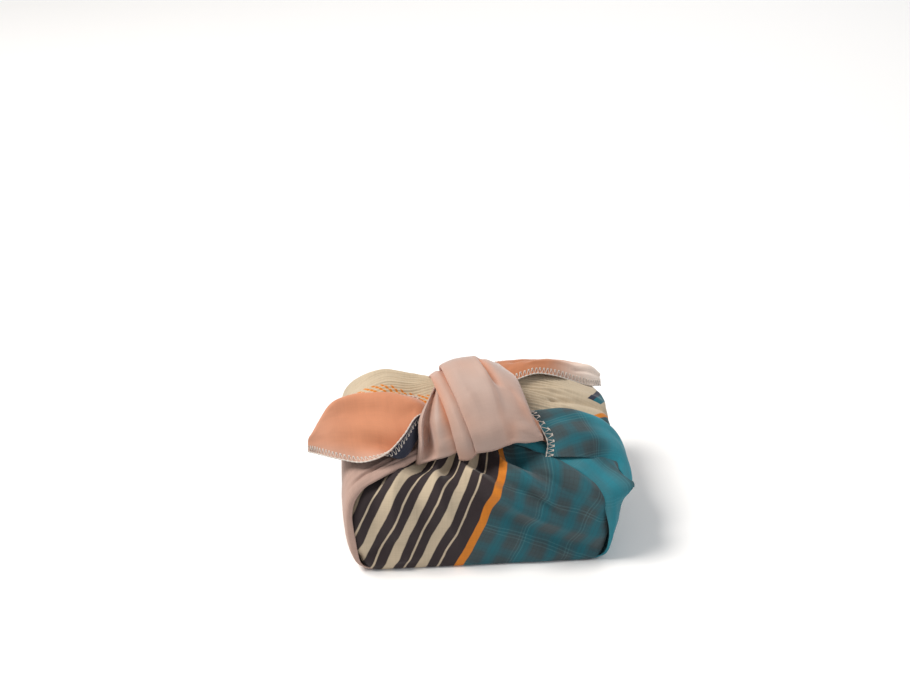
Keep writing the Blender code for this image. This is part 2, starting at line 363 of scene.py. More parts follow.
def scaled(tree, vector, by):
    return add(tree, "ShaderNodeVectorMath", {0: vector, "Scale": by}, operation="SCALE")


def step(tree, place, at, soft):
    """0 before a line and 1 after it, with the soft edge that dye has in cotton."""
    return add(
        tree, "ShaderNodeMapRange", {0: place, 1: at - soft / 2, 2: at + soft / 2},
        interpolation_type="SMOOTHSTEP",
    )


def lines(tree, place, pitch, wide, soft=0.5):
    """1 on evenly spaced lines, a pitch apart."""
    near = numbers(tree, "PINGPONG", place, pitch / 2)
    return add(
        tree, "ShaderNodeMapRange",
        {0: near, 1: (wide - soft) / 2, 2: (wide + soft) / 2, 3: 1.0, 4: 0.0},
    )


def mixed(tree, share, under, over):
    """The over colour laid on the under colour."""
    return add(tree, "ShaderNodeMix", {0: share, 6: under, 7: over}, out=2, data_type="RGBA")


def mottled(tree, place, scale, detail, out=0):
    """Soft random values over the cloth: one number, or with out=1 three of them."""
    inputs = {"Vector": place, "Scale": scale, "Detail": detail}
    return add(tree, "ShaderNodeTexNoise", inputs, out=out)


def x_and_y(tree, vector):
    """The X and the Y of a place."""
    split = tree.nodes.new("ShaderNodeSeparateXYZ")
    tree.links.new(vector, split.inputs[0])
    return split.outputs[0], split.outputs[1]


def new_material(name):
    """A material and its shader."""
    material = bpy.data.materials.new(name)
    material.use_nodes = True
    return material, material.node_tree.nodes["Principled BSDF"]


WEAVE_PITCH = 0.36
SLUB_WIDE, SLUB_LONG = 0.7, 26.0  # thicker threads, a little wider than they are
SLUB_FROM, SLUB_TO = 0.6, 1.4  # what two crossing threads add up to, at the least and the most
DRIFT, DRIFT_SCALE = 1.8, 0.06  # how far the print wanders off its straight lines, and how often
CLOUDING, CLOUD_SCALE = 0.3, 0.05  # how much the depth of the dye varies, and how often
GRAIN_SHARE = 0.35  # the height of the weave against that of the thicker threads
RELIEF, RELIEF_DEEP = 0.16, 0.2  # how clearly they stand out, and how far
SMOOTHER, ROUGHER = 0.08, 0.1  # between the thicker threads, and on them


def cotton(name, paint, contrast=0.2, roughness=0.85, sheen=0.12):
    """Plain-woven cotton. paint(tree, place) gives its colour over the flat cloth in millimetres:
    its dye, and on some sheets painted light and shade.

    The eye sees a matt cloth, faintly streaked both ways by thicker threads, with a fine grain.
    """
    material, surface = new_material(name)
    tree = material.node_tree
    place = scaled(tree, add(tree, "ShaderNodeUVMap", {}, uv_map="flat"), 1 / MM)
    drift = mottled(tree, place, DRIFT_SCALE, 2.0, out=1)
    colour_from_paint = paint(tree, vectors(tree, "MULTIPLY_ADD", drift, (DRIFT, DRIFT, 0), place))

    warp = vectors(tree, "MULTIPLY", place, (1 / SLUB_WIDE, 1 / SLUB_LONG, 1))
    weft = vectors(tree, "MULTIPLY", place, (1 / SLUB_LONG, 1 / SLUB_WIDE, 1))
    slub = numbers(tree, "ADD", mottled(tree, warp, 1.0, 1.0), mottled(tree, weft, 1.0, 1.0))
    cloud = mottled(tree, place, CLOUD_SCALE, 3.0)
    streaks = numbers(tree, "MULTIPLY_ADD", slub, contrast, 1 - contrast)
    clouds = numbers(tree, "MULTIPLY_ADD", cloud, CLOUDING, 1 - CLOUDING / 2)
    streaked_colour = scaled(tree, colour_from_paint, product(tree, streaks, clouds))
    tree.links.new(streaked_colour, surface.inputs["Base Color"])

    waves = vectors(tree, "SINE", scaled(tree, place, math.pi / WEAVE_PITCH))
    grain = product(tree, *x_and_y(tree, waves))
    height = numbers(tree, "MULTIPLY_ADD", grain, GRAIN_SHARE, slub)
    relief = {"Height": height, "Strength": RELIEF, "Distance": RELIEF_DEEP * MM}
    tree.links.new(add(tree, "ShaderNodeBump", relief), surface.inputs["Normal"])
    matt = add(
        tree, "ShaderNodeMapRange",
        {0: slub, 1: SLUB_FROM, 2: SLUB_TO, 3: roughness - SMOOTHER, 4: roughness + ROUGHER},
    )
    tree.links.new(matt, surface.inputs["Roughness"])
    surface.inputs["Specular IOR Level"].default_value = 0.3
    surface.inputs["Sheen Weight"].default_value = sheen
    surface.inputs["Sheen Roughness"].default_value = 0.45
    return material


# The print: fields side by side, parted by a narrow orange line. One field is dark brown with a
# broad and a thin cream stripe in turn, and the next is teal with a tonal check and threes of fine
# pale lines. All of it lies straight on a grain that leans across the bundle.
GRAIN = -24  # degrees
BROWN_WIDE, ORANGE_WIDE, TEAL_WIDE = 100, 5, 100
FIELD_SHIFT = 14  # where they begin on the front
PRINT_SOFT = 0.5  # the soft edge of a printed field
STRIPE_PITCH, STRIPE_WIDE, THIN_STRIPE = 18.5, 6.0, 1.2
# How strongly the check, its fine brown grid and the pale lines are laid on.
CHECK_PITCH, CHECK_WIDE, CHECK_SOFT, CHECK_ALONG, CHECK_ACROSS = 17, 6.4, 3.5, 0.4, 0.7
GRID_PITCH, GRID_WIDE, GRID_SHARE = 2.6, 0.5, 0.16
FINE_PITCH, FINE_WIDE, FINE_SOFT, FINE_BAND, FINE_EVERY, FINE_SHARE = 1.9, 0.5, 0.4, 5.2, 30, 0.13
BROWN, CREAM, ORANGE = linear("#31282a"), linear("#bcac94"), linear("#cc7a26")
TEAL, TEAL_DULL, TEAL_PALE = linear("#15626f"), linear("#3c4c50"), linear("#78a8ac")
# A lighter teal, laid on as painted light where folds and edges catch the lamps.
TEAL_PAINTED_LIGHT = linear("#2993a4")


def teal_field(tree, across, along):
    """The teal check, for two places measured across and along the grain."""
    colour = TEAL_DULL
    for place, share in ((along, CHECK_ALONG), (across, CHECK_ACROSS)):
        band = lines(tree, place, CHECK_PITCH, CHECK_WIDE, CHECK_SOFT)
        colour = mixed(tree, product(tree, band, share), colour, TEAL)
        grid = product(tree, lines(tree, place, GRID_PITCH, GRID_WIDE), GRID_SHARE)
        colour = mixed(tree, grid, colour, BROWN)
    for place in (across, along):
        fine = lines(tree, place, FINE_PITCH, FINE_WIDE, FINE_SOFT)
        threes = product(tree, fine, lines(tree, place, FINE_EVERY, FINE_BAND, FINE_SOFT))
        colour = mixed(tree, product(tree, threes, FINE_SHARE), colour, TEAL_PALE)
    return colour


def grain_places(tree, place, degrees):
    """The places measured across and along a grain."""
    turn = {"Vector": place, "Angle": math.radians(degrees)}
    return x_and_y(tree, add(tree, "ShaderNodeVectorRotate", turn, rotation_type="Z_AXIS"))


def fields(tree, place):
    """The whole print, over the flat cloth."""
    across, along = grain_places(tree, place, -GRAIN)
    across = numbers(tree, "ADD", across, FIELD_SHIFT)
    repeat = numbers(tree, "WRAP", across, ORANGE_WIDE + TEAL_WIDE, -BROWN_WIDE)
    broad = lines(tree, repeat, STRIPE_PITCH, STRIPE_WIDE)
    halfway = numbers(tree, "ADD", repeat, STRIPE_PITCH / 2)
    thin = lines(tree, halfway, STRIPE_PITCH, THIN_STRIPE)
    striped = mixed(tree, numbers(tree, "MAXIMUM", broad, thin), BROWN, CREAM)
    colour = mixed(tree, step(tree, repeat, -STRIPE_WIDE, PRINT_SOFT), striped, BROWN)
    colour = mixed(tree, step(tree, repeat, 0, PRINT_SOFT), colour, ORANGE)
    teal = teal_field(tree, across, along)
    return mixed(tree, step(tree, repeat, ORANGE_WIDE, PRINT_SOFT), colour, teal)


def body_flat(ring, share, length, place):
    """The front rises from its base edge; the back is the far side of the same cloth."""
    reach = ring["right"] if place.x > 0 else ring["left"]
    drawn = GATHERED * min(max((ring["z"] - GATHERED_FROM) / GATHERED_OVER, 0), 1)
    u = place.x * (1 + drawn * (BODY_HALF / reach - 1))
    v = length - body_base
    return (u, v) if share > 0.5 else (u, -BODY_DEPTH - v)


FRONT_MIDDLE = 0.75  # the share of a ring where the middle of the front is
base_share = BASE_ROW / (len(BODY_RINGS) - 1)
base_places = [
    body_point(section(BODY_RINGS, i / MEASURE_STEPS * base_share), FRONT_MIDDLE)
    for i in range(MEASURE_STEPS + 1)
]
body_base = sum((after - before).length for before, after in zip(base_places, base_places[1:]))
printed = cotton("printed plain-woven cotton", fields)
body, body_flat_places = lay(
    "bundle_body", BODY_RINGS, body_point, along=120, across=280, centre=FRONT_MIDDLE,
    flat_place=body_flat,
)
face_out(body, (0, 0, 30))
press(
    body, body_flat_places, creases=BODY_CREASES, gathers=BODY_GATHERS, uneven=0.45, seed=1.0,
    rests=True,
)
give_thickness(body, [printed], weld=True)


# ----------------------------------------------------------------------------------------------
# The two ends: the cloth of one corner each, drawn up over the end of the box and in to the knot.
# Their long edges are folds, turned in on themselves, and small pleats gather towards the knot.
# ----------------------------------------------------------------------------------------------

# Each section across an end runs from the fold at the front, over the middle, to the fold at the
# back. "front" and "rear" say how boxy its halves are, "roll" is the radius of the folds, and "ear"
# how far a corner of the box is pinched out near the front.
LEFT_END = table(
    "fold middle back front rear roll",
    ((-63.5, -58.3, 0.6), (-69.8, 0, 0.5), (-63.5, 58.2, 0.6), 4.8, 4.6, 0.4),
    ((-71.5, -60.3, 7), (-76.5, 0, 8), (-73, 60.7, 7), 4.8, 4.8, 0.7),
    ((-74.5, -61, 24), (-80.8, 0, 26), (-77, 62, 24), 5, 5, 1),
    ((-76.5, -60, 42), (-80.8, 4, 46), (-75, 60, 42), 4, 5, 1.1),
    ((-73, -56, 53), (-78, 12, 62), (-70, 56, 53), 2.4, 4, 1.2),
    ((-63, -49, 59.5), (-66, 22, 76), (-61, 52, 60), 1.25, 3, 1.4),
    ((-50, -42, 63), (-52, 24, 82), (-50, 50, 62), 1.1, 3, 1.6),
    ((-36, -33, 65), (-35, 22, 81), (-36, 43, 64), 1.15, 3, 1.6),
    ((-18, -22, 66), (-15, 14, 86), (-18, 28, 64), 1.6, 3, 1.4),
)
RIGHT_END = table(
    "fold middle back front rear roll ear",
    ((70, -58, 0.6), (77.5, 0, 0.5), (71, 58.2, 0.6), 3.6, 4.6, 0.4, 0),
    ((77.5, -60.3, 7), (81, 0, 8), (77.6, 61, 7), 4, 4.8, 0.7, 0),
    ((79.5, -61, 23), (84, 0, 26), (80, 62, 24), 5, 5, 1, 1),
    ((77, -60, 37), (86, 2, 41), (79, 61, 40), 4, 5, 1.1, 3),
    ((75, -57.5, 47), (88, 5, 50), (77, 60, 47), 3.0, 4.5, 1.2, 10),
    ((70, -53, 53), (87.5, 6, 57.5), (73, 57, 54), 1.6, 3, 1.3, 1),
    ((60, -46, 59.5), (81.5, 12, 66.5), (62, 53, 58), 1.4, 1.9, 1.5, 0),
    ((46, -37, 62.5), (58, 21, 76), (50, 49, 61), 1.3, 2.2, 1.6, 0),
    ((32, -30, 66), (36, 22, 81.5), (36, 42, 64), 1.6, 3, 1.6, 0),
    ((16, -22, 67), (15, 14, 86), (17, 28, 64), 2, 3, 1.4, 0),
)
END_WIDE = 142  # flat, from fold to fold with what is turned in
TURNED_IN = 0.06  # the share of it beyond each fold
UNDER = 1.8  # how far a fold runs back under itself
SLANT = 0.5  # how steeply it leaves the cloth above it
INNER_SHARE, INNER_TOP = 0.5, 40  # it turns in towards the middle, and no higher than this
A_LITTLE_WAY = 0.012  # the share over which the direction of the cloth at a fold is measured
EAR_AT, EAR_WIDE, EAR_SHARP = 0.2, 0.05, 1.3  # where across the end a corner is pinched out

LEFT_CREASES = table(
    CREASE,
    ((-60, 150), (-44, 110), (-42, 50), 4, -1.2),
    ((-48, 160), (-30, 120), (-30, 60), 5, 1.0),
    ((-20, 160), (-8, 110), (-16, 50), 5, -1.5),
    ((6, 160), (14, 110), (8, 40), 6, 1.2),
    ((26, 160), (34, 110), (36, 50), 5, -1.6),
    ((-49, 118), (-50, 90), (-50, 56), 4, -1.7),
    ((-54.5, 120), (-55.5, 92), (-56, 58), 1.7, -2.4),
    ((48, 150), (52, 100), (50, 40), 4, 1.0),
)
LEFT_GATHERS = table(
    PLEATS,
    (-30, 64, 27, 2.1, 76, 116),
    (-64, -28, 4, 1.1, 60, 130),
)
RIGHT_CREASES = table(
    CREASE,
    ((-56, 150), (-46, 110), (-48, 40), 4, -1.2),
    ((-30, 120), (-30, 90), (-36, 40), 5, -1.8),
    ((-14, 130), (-18, 80), (-22, 30), 6, 1.2),
    ((10, 150), (2, 110), (0, 90), 6, -1.6),
    ((4, 116), (16, 84), (14, 56), 3.4, 1.3),
    ((-7, 110), (7, 86), (5, 54), 2.6, -3.1),
    ((-12, 104), (-3, 82), (-3, 58), 2.8, 1.1),
    ((30, 150), (30, 90), (28, 30), 5, 1.2),
    ((46, 150), (50, 100), (50, 40), 4, -1.2),
)
RIGHT_GATHERS = table(PLEATS, (-26, 64, 25, 2.1, 76, 116))


def on_end(row, across):
    """A point between the two folds of an end."""
    edge = row["fold"] if across < 0.5 else row["back"]
    middle = row["middle"]
    power = 2 / row["front" if across < 0.5 else "rear"]
    angle = math.pi * (across if across < 0.5 else 1 - across)
    sideways = math.cos(angle) ** power if across != 0.5 else 0.0
    outward = math.sin(angle) ** power
    corner = Vector((edge.x, middle.y, edge.z))
    point = corner + (edge - corner) * sideways + (middle - corner) * outward
    pinched = math.exp(-(abs((across - EAR_AT) / EAR_WIDE) ** EAR_SHARP))
    point.x += row.get("ear", 0) * pinched * math.copysign(1, point.x)
    return point


def end_point(row, share):
    """A point of an end, or of the folded edge that is turned in under it."""
    across = 0.5 + (share - 0.5) * (1 + 2 * TURNED_IN)
    if 0 <= across <= 1:
        return on_end(row, across)
    edge = 0.0 if across < 0 else 1.0
    fold = on_end(row, edge)
    onward = (fold - on_end(row, abs(edge - A_LITTLE_WAY))).normalized()
    inward = Vector((fold.x * INNER_SHARE, 0, min(fold.z, INNER_TOP))) - fold
    inward = (inward - onward * inward.dot(onward)).normalized()
    turn = abs(across - edge) / TURNED_IN * (math.pi + UNDER / row["roll"])
    arc = min(turn, math.pi)
    return fold + row["roll"] * (
        onward * (math.sin(arc) - (turn - arc))
        + inward * (1 - math.cos(arc) + SLANT * (turn - arc))
    )


ROSE_BEIGE, NAVY = linear("#ad9185"), linear("#2c2f40")
ORANGE_LINE_PITCH, ORANGE_LINE_WIDE, ORANGE_LINE_GRAIN = 3.0, 1.3, -55
# The left end is rose beige at the front. Behind that, its lower part is rose beige and then
# printed like the body, and its upper part is cream.
ROSE_TO, LOW_TO, LOW_ROSE_TO = -19, 60, 8
PLAIN_FROM, PLAIN_GRAIN = 63.5, -29  # past this slanting line the cream has no stripes
LEFT_SOFT = 0.8


def left_print(tree, place):
    """Rose beige at the front; behind it cream, with thin orange stripes on one slant."""
    striped, _ = grain_places(tree, place, ORANGE_LINE_GRAIN)
    stripes = lines(tree, striped, ORANGE_LINE_PITCH, ORANGE_LINE_WIDE)
    plain, _ = grain_places(tree, place, PLAIN_GRAIN)
    across, up = x_and_y(tree, place)
    cream = mixed(tree, stripes, CREAM, ORANGE)
    cream = mixed(tree, step(tree, plain, PLAIN_FROM, LEFT_SOFT), cream, CREAM)
    low = step(tree, across, LOW_ROSE_TO, LEFT_SOFT)
    low = mixed(tree, low, ROSE_BEIGE, fields(tree, place))
    behind = mixed(tree, step(tree, up, LOW_TO, LEFT_SOFT), low, cream)
    return mixed(tree, step(tree, across, ROSE_TO, LEFT_SOFT), ROSE_BEIGE, behind)


# On the right end a narrow orange line parts the teal from the cream. The cream holds a wedge of
# teal and navy, parted by straight lines too.
TEAL_GRAIN = 14
CREAM_BEHIND, CREAM_FROM, CREAM_GRAIN, ORANGE_EDGE = -34, 46, -45, 3
WEDGE_BEHIND, WEDGE_GRAIN, WEDGE_TEAL, WEDGE_NAVY, WEDGE_TO = 10, -57, 65, 70.5, 74
# Painted light: the teal is lightened along the front fold, where it catches the light.
PAINTED_LIGHT_BEFORE, PAINTED_LIGHT_SOFT, PAINTED_LIGHT_SHARE = 46, 12, 0.45  # the teal is brighter at the front fold
RIGHT_SOFT = 0.6


def right_print_and_light(tree, place):
    """Teal at the front and over the end, with painted light along the front fold; cream on top,
    behind the loose corner.
    """
    across, _ = x_and_y(tree, place)
    edge, _ = grain_places(tree, place, CREAM_GRAIN)
    wedge, _ = grain_places(tree, place, WEDGE_GRAIN)
    cream = CREAM
    for start, colour in ((WEDGE_TEAL, TEAL), (WEDGE_NAVY, NAVY), (WEDGE_TO, CREAM)):
        cream = mixed(tree, step(tree, wedge, start, PRINT_SOFT), cream, colour)
    cream = mixed(tree, step(tree, across, WEDGE_BEHIND, RIGHT_SOFT), CREAM, cream)
    painted_light = step(tree, product(tree, across, -1), PAINTED_LIGHT_BEFORE, PAINTED_LIGHT_SOFT)
    painted_light = product(tree, painted_light, PAINTED_LIGHT_SHARE)
    colour = teal_field(tree, *grain_places(tree, place, TEAL_GRAIN))
    colour = mixed(tree, painted_light, colour, TEAL_PAINTED_LIGHT)
    behind = step(tree, across, CREAM_BEHIND, RIGHT_SOFT)
    for start, over in ((CREAM_FROM, ORANGE), (CREAM_FROM + ORANGE_EDGE, cream)):
        share = product(tree, behind, step(tree, edge, start, RIGHT_SOFT))
        colour = mixed(tree, share, colour, over)
    return colour


left_cotton = cotton("printed plain-woven cotton, left end", left_print)
right_cotton = cotton("printed plain-woven cotton, right end", right_print_and_light)
for name, rows, creases, gathers, seed, material in (
    ("left_end", LEFT_END, LEFT_CREASES, LEFT_GATHERS, 11.0, left_cotton),
    ("right_end", RIGHT_END, RIGHT_CREASES, RIGHT_GATHERS, 12.0, right_cotton),
):
    end, end_flat = lay(name, rows, end_point, along=120, across=320, wide=END_WIDE)
    face_out(end, (0, 0, 40))
    press(end, end_flat, creases=creases, gathers=gathers, uneven=0.35, seed=seed, rests=True)
    give_thickness(end, [material], thick=0.7)


# ----------------------------------------------------------------------------------------------
# The knot: one end of the cloth carried over the other as a broad band, from back to front, and
# tucked in under itself. Its wrong side shows, peach and rose beige, in two pleats and a broad
# panel with a pinch on top. More peach is laid on in its folds as painted warm shade.
# ----------------------------------------------------------------------------------------------

# Each row is a line of the band, from the lip tucked in at the front, up its face and over the top,
# to the tail at the back. "flat" is its place on the flat band, and the next column is how much
# peach is laid on there: partly the dye's own peach and partly painted warm shade, strongest where
# a pleat folds under. The rows step back where a pleat folds under.
KNOT_FOLDS = table(
    "flat warm lip face brow top rear tail",
    (0, 0.6, (-29, -25, 63), (-28, -23, 71), (-26, -16, 78),
     (-19, 0, 82), (-17, 20, 73), (-27, 37, 62)),
    (5, 0.3, (-33.5, -31, 61.5), (-31.8, -27.5, 72), (-30.5, -19, 82),
     (-22, -1, 87), (-18, 22, 76.5), (-31, 41, 61.5)),
    (8, 0, (-36, -34.5, 60.5), (-34.2, -31.5, 72.5), (-33, -21.5, 84),
     (-24, -3, 90), (-19, 23, 78), (-34, 43, 61.5)),
    (11, 0, (-33, -36, 61.5), (-32, -33.5, 73.5), (-31.3, -24, 85.5),
     (-23.5, -3, 91.5), (-19, 24, 79), (-33, 44, 61.5)),
    (14, 0.2, (-30, -36, 62.5), (-30.3, -25, 70.5), (-29.6, -20, 82.5),
     (-23, -3, 90), (-19, 24, 79), (-32.5, 44, 61.5)),
    (17, 0.45, (-26, -36, 63.8), (-26.6, -24.3, 70), (-27, -19, 82),
     (-22.5, -3, 89.5), (-18.5, 24, 79), (-31.5, 44, 61.5)),
    (20, 0.2, (-22.5, -36.5, 65), (-23.8, -32.3, 74.8), (-24.6, -24.5, 85.8),
     (-21.5, -2, 91.5), (-18, 24, 79.5), (-30, 43.5, 62)),
    (24, 0, (-17, -36.5, 66.5), (-20, -34, 76.5), (-22, -25.5, 87),
     (-20.5, -1, 92), (-18, 25, 80), (-28, 44, 62.5)),
    (31, 1.6, (-8, -34, 68.5), (-11, -31, 78), (-15, -21, 87.5),
     (-21, 0, 92), (-21, 24, 82), (-22, 43, 63)),
    (38, 0.7, (-10.5, -37, 64.5), (-13.5, -34, 77.5), (-17.5, -24, 90),
     (-23.5, 0, 95.5), (-24.5, 25, 84), (-25, 44, 63.5)),
    (43, 0.2, (-5, -38.5, 64.5), (-8.5, -36, 79), (-13.5, -24.5, 93),
     (-21, 0, 98.5), (-22, 26, 86), (-21.5, 45, 64)),
    (47, 0.3, (-0.5, -37.5, 67), (-4.5, -34.5, 81), (-10, -23, 94),
     (-18.5, 1, 99.5), (-19.5, 25.5, 87), (-17, 44.5, 64.5)),
    (52, 0.9, (3, -34.5, 70.5), (-1, -32, 82.5), (-7.5, -21, 94),
     (-15, 1, 99.5), (-15, 25, 86.5), (-12, 43.5, 65)),
    (59, 0.3, (-0.5, -38, 69.5), (-4.5, -35, 83.5), (-11, -23, 97.5),
     (-18, 2, 103.5), (-18, 27, 88.5), (-14, 45.5, 65)),
    (64, 0, (5, -38.5, 70), (1, -35.5, 85), (-5.5, -21.5, 101),
     (-12.5, 4, 106.5), (-12, 28, 90.5), (-8, 46, 65.5)),
    (71, 0, (11, -38.5, 71), (6.5, -35, 86), (-0.5, -20.5, 102.3),
     (-7, 5, 107.6), (-6, 29, 91.5), (-2, 46, 66)),
    (78, 0, (17, -38, 73), (13, -34.5, 87.5), (8.5, -21.5, 103.5),
     (1, 4, 109), (1, 29, 92.5), (5, 46, 66)),
    (82, 0.2, (20, -38, 74), (16.3, -34.5, 87.5), (12, -21, 102.5),
     (5, 5, 109), (5.5, 29, 92), (9, 45.5, 66)),
    (87, 0, (24, -37.5, 75), (20.5, -34, 87.5), (16, -20.5, 100),
     (10.5, 5, 106), (10, 28.5, 91), (13, 45.5, 66)),
    (95, 0, (30.5, -37, 74.5), (27.5, -33.5, 86.5), (23.5, -22, 97.5),
     (18.5, 2, 102.5), (18, 27, 89), (20, 45, 66)),
    (102, 0.15, (36, -36, 74.5), (33.5, -32.5, 85), (29.5, -22.5, 94.5),
     (24.5, 0, 99), (24, 25, 86), (27, 44, 65)),
    (107, 0.4, (40, -34.5, 74.5), (35.8, -31, 83.5), (32, -21.5, 91.3),
     (28, 0, 95.5), (28, 23.5, 83), (32, 42.5, 64.5)),
    (111, 1.8, (40, -31, 72), (36.5, -27, 79.5), (32.5, -18.5, 88),
     (28, 0, 92), (28, 21, 80), (32, 39.5, 64)),
    (117, 3, (44, -26.5, 67), (40.5, -20.5, 76), (31, -14, 83),
     (25.5, 1, 86), (25, 17, 76), (28, 34, 63)),
)
KNOT_WIDE = 132  # flat, from lip to tail with what is tucked in
TUCKED = 0.08  # the share tucked in at the lip and again at the tail
LIP_ROLL, LIP_RUN = 1.9, 4  # the radius of the lip, and how many times that it runs on inwards
KNOT_CREASES = table(
    CREASE,
    ((24, 84.5), (8, 82.5), (-8, 88), 2.6, -4.6),
    ((14, 79.5), (6, 77.5), (-10, 83), 1.9, 1.5),
    ((-2, 95), (-20, 98), (-44, 104), 4.0, -0.8),
    ((-10, 66), (-28, 70), (-58, 76), 5.0, 0.9),
    ((-56, 108), (-46, 99), (-34, 92), 4.0, 1.0),
    ((-56, 84), (-44, 88), (-30, 86), 4.0, -0.7),
    ((-10, 42), (-30, 44), (-56, 45), 1.6, 0.5),
    ((30, 70), (44, 72), (60, 70), 5.0, -1.4),
    ((24, 96), (42, 92), (60, 90), 4.0, 1.0),
)


def on_knot(row, across):
    """A point of the band between its lip and its tail."""
    return through([row[name] for name in ("lip", "face", "brow", "top", "rear", "tail")], across)


def knot_point(row, share):
    """A point of the band, or of what is tucked in under its lip or its tail."""
    across = 0.5 + (share - 0.5) * (1 + 2 * TUCKED)
    if 0 <= across <= 1:
        return on_knot(row, across)
    edge = 0.0 if across < 0 else 1.0
    fold = on_knot(row, edge)
    down = Vector((0, 0, -1))
    inward = Vector((0, 1 if edge == 0 else -1, 0))
    turn = abs(across - edge) / TUCKED * (math.pi / 2 + LIP_RUN)
    arc = min(turn, math.pi / 2)
    return fold + LIP_ROLL * (down * math.sin(arc) + inward * (1 - math.cos(arc) + turn - arc))


PEACH, ROSE = linear("#c78562"), linear("#b39b90")
BLOTCH_SCALE, BLOTCH_SHARE, BLOTCH_LESS = 0.04, 0.5, -0.2  # the peach comes and goes softly
WARM_FROM, WARM_OVER, WARM_LOW = -40, 45, 0.3  # where it grows up the face, from what share
# Painted warm shade in the folds: more peach for each millimetre that a crease sinks the band.
PAINTED_FOLD_SHADE = 0.22  # how much stronger it is for each millimetre that a fold is sunk


def knot_dye_and_fold_shade(tree, place):
    """Rose beige shaded off to peach, with more peach in the folds as painted warm shade."""
    warm = add(tree, "ShaderNodeAttribute", {}, out=2, attribute_name="warm")
    blotches = mottled(tree, place, BLOTCH_SCALE, 1.0)
    blotches = numbers(tree, "MULTIPLY_ADD", blotches, BLOTCH_SHARE, BLOTCH_LESS)
    return mixed(tree, numbers(tree, "ADD", warm, blotches, use_clamp=True), ROSE, PEACH)


peach_cotton = cotton(
    "fine plain-woven cotton, peach side", knot_dye_and_fold_shade, contrast=0.08, roughness=0.62, sheen=0.35
)
peach_and_shade_amounts = []


def knot_flat_place(row, share, *_):
    """The flat place, from the table's own column; the peach and the painted fold shade are read
    with it.
    """
    u = (share - 0.5) * KNOT_WIDE
    grown = min(max((u - WARM_FROM) / WARM_OVER, 0), 1)
    peach_and_shade_amounts.append(min(max(row["warm"], 0) * (WARM_LOW + (1 - WARM_LOW) * grown), 1))
    return u, row["flat"]


knot, knot_flat = lay(
    "knot", KNOT_FOLDS, knot_point, along=230, across=120, flat_place=knot_flat_place
)
face_out(knot, (0, 0, 55))
pressed = press(knot, knot_flat, creases=KNOT_CREASES, uneven=0.25, seed=8.0)
warm = knot.data.attributes.new("warm", "FLOAT", "POINT")
# Painted shade: more peach where the creases sink the band, for the warm shade in its folds.
peach_and_shade_amounts = np.array(peach_and_shade_amounts) - PAINTED_FOLD_SHADE * np.minimum(pressed, 0)
warm.data.foreach_set("value", np.clip(peach_and_shade_amounts, 0, 1))
give_thickness(knot, [peach_cotton], thick=0.7)


# ----------------------------------------------------------------------------------------------
# The free corners: the left ear, the right ear behind the knot and the loose corner over the right
# end. Each is a single thickness with an overlocked hem, and shows the peach or the printed side.
# ----------------------------------------------------------------------------------------------

# Each section runs from the hem at the front to the far edge.
FREE = "hem belly crest edge"
LEFT_EAR = table(
    FREE,
    ((-24, -6, 79), (-24, -14, 74), (-24, -4, 77), (-24, 8, 76)),
    ((-35, -20, 84), (-34, -24, 72), (-34, -5, 84), (-34, 9, 80)),
    ((-43, -35.5, 82), (-44, -34, 67), (-48, -3, 88), (-46, 8, 82)),
    ((-54, -41, 73), (-58, -31, 70.5), (-60, -2, 89), (-60, 6, 84)),
    ((-68, -40, 67), (-70, -28, 73), (-73, -3, 89), (-73, 4, 84)),
    ((-82, -37, 68), (-83, -28, 75), (-85, -9, 88), (-85, -2, 81.5)),
    ((-93, -33, 69), (-93, -28, 74), (-94, -19, 82), (-92.5, -11, 75.5)),
    ((-100, -31, 70), (-100, -29, 73), (-99, -25, 77), (-96.5, -18, 72.5)),
)
RIGHT_EAR = table(
    FREE,
    ((18, 10, 84), (18, 16, 90), (18, 26, 91.5), (18, 36, 86)),
    ((29, 14, 86), (29, 22, 90), (30, 31, 90), (31, 40, 83)),
    ((42, 21.5, 85.3), (43, 29, 88), (44, 38, 86), (45, 46, 78)),
    ((55, 26.5, 80), (56, 35, 84), (57, 44, 82), (58, 51, 75)),
    ((68, 32.5, 71.5), (69, 40, 77), (70, 48, 77), (70, 54, 71)),
    ((79, 38.5, 64), (80, 43, 70), (81, 49, 73), (79, 55, 68)),
    ((88, 44, 60), (88, 46, 64), (88, 49, 67), (87, 52, 65)),
)
CORNER = table(
    FREE,
    ((42, -37.5, 63), (43, -30.5, 71), (35.5, -17, 80), (31, -8, 77.5)),
    ((53, -39.5, 64), (54, -30, 72.5), (53, -12, 79.3), (52, -3, 74.8)),
    ((65, -38.5, 62.5), (67, -29, 70.5), (67, -12, 76.3), (67, -3, 71.5)),
    ((76, -34.5, 57), (80, -26, 64), (81, -11, 69.5), (81, -2, 63)),
    ((85, -33, 51), (90.5, -23, 55.5), (91, -10, 58.5), (87, -1, 53)),
    ((90.5, -38, 46), (95, -25, 47.5), (95, -13, 48.5), (89, -4, 46)),
    ((92.5, -43, 40), (96, -34, 39), (95.5, -21, 39), (88.5, -10, 38.5)),
    ((90, -43, 35), (91.5, -38, 33.5), (90, -29, 33), (86.5, -20, 33)),
)


def corner_point(row, share):
    return through([row[name] for name in FREE.split()], share)


# The pale ear's deep peach by the knot is partly its dye and partly painted shade behind the knot.
PALE_CREAM, PEACH_WITH_KNOT_SHADE = linear("#e9d9cc"), linear("#b87650")
# Where each colour begins on the flat corner, and how softly.
EAR_PEACH_FROM, EAR_PEACH_SOFT = -24, 26
EAR_ROSE_FROM, EAR_ROSE_SOFT, EAR_ROSE_SHARE = 74, 60, 0.4
PALE_FROM, PALE_SOFT = 56, 46
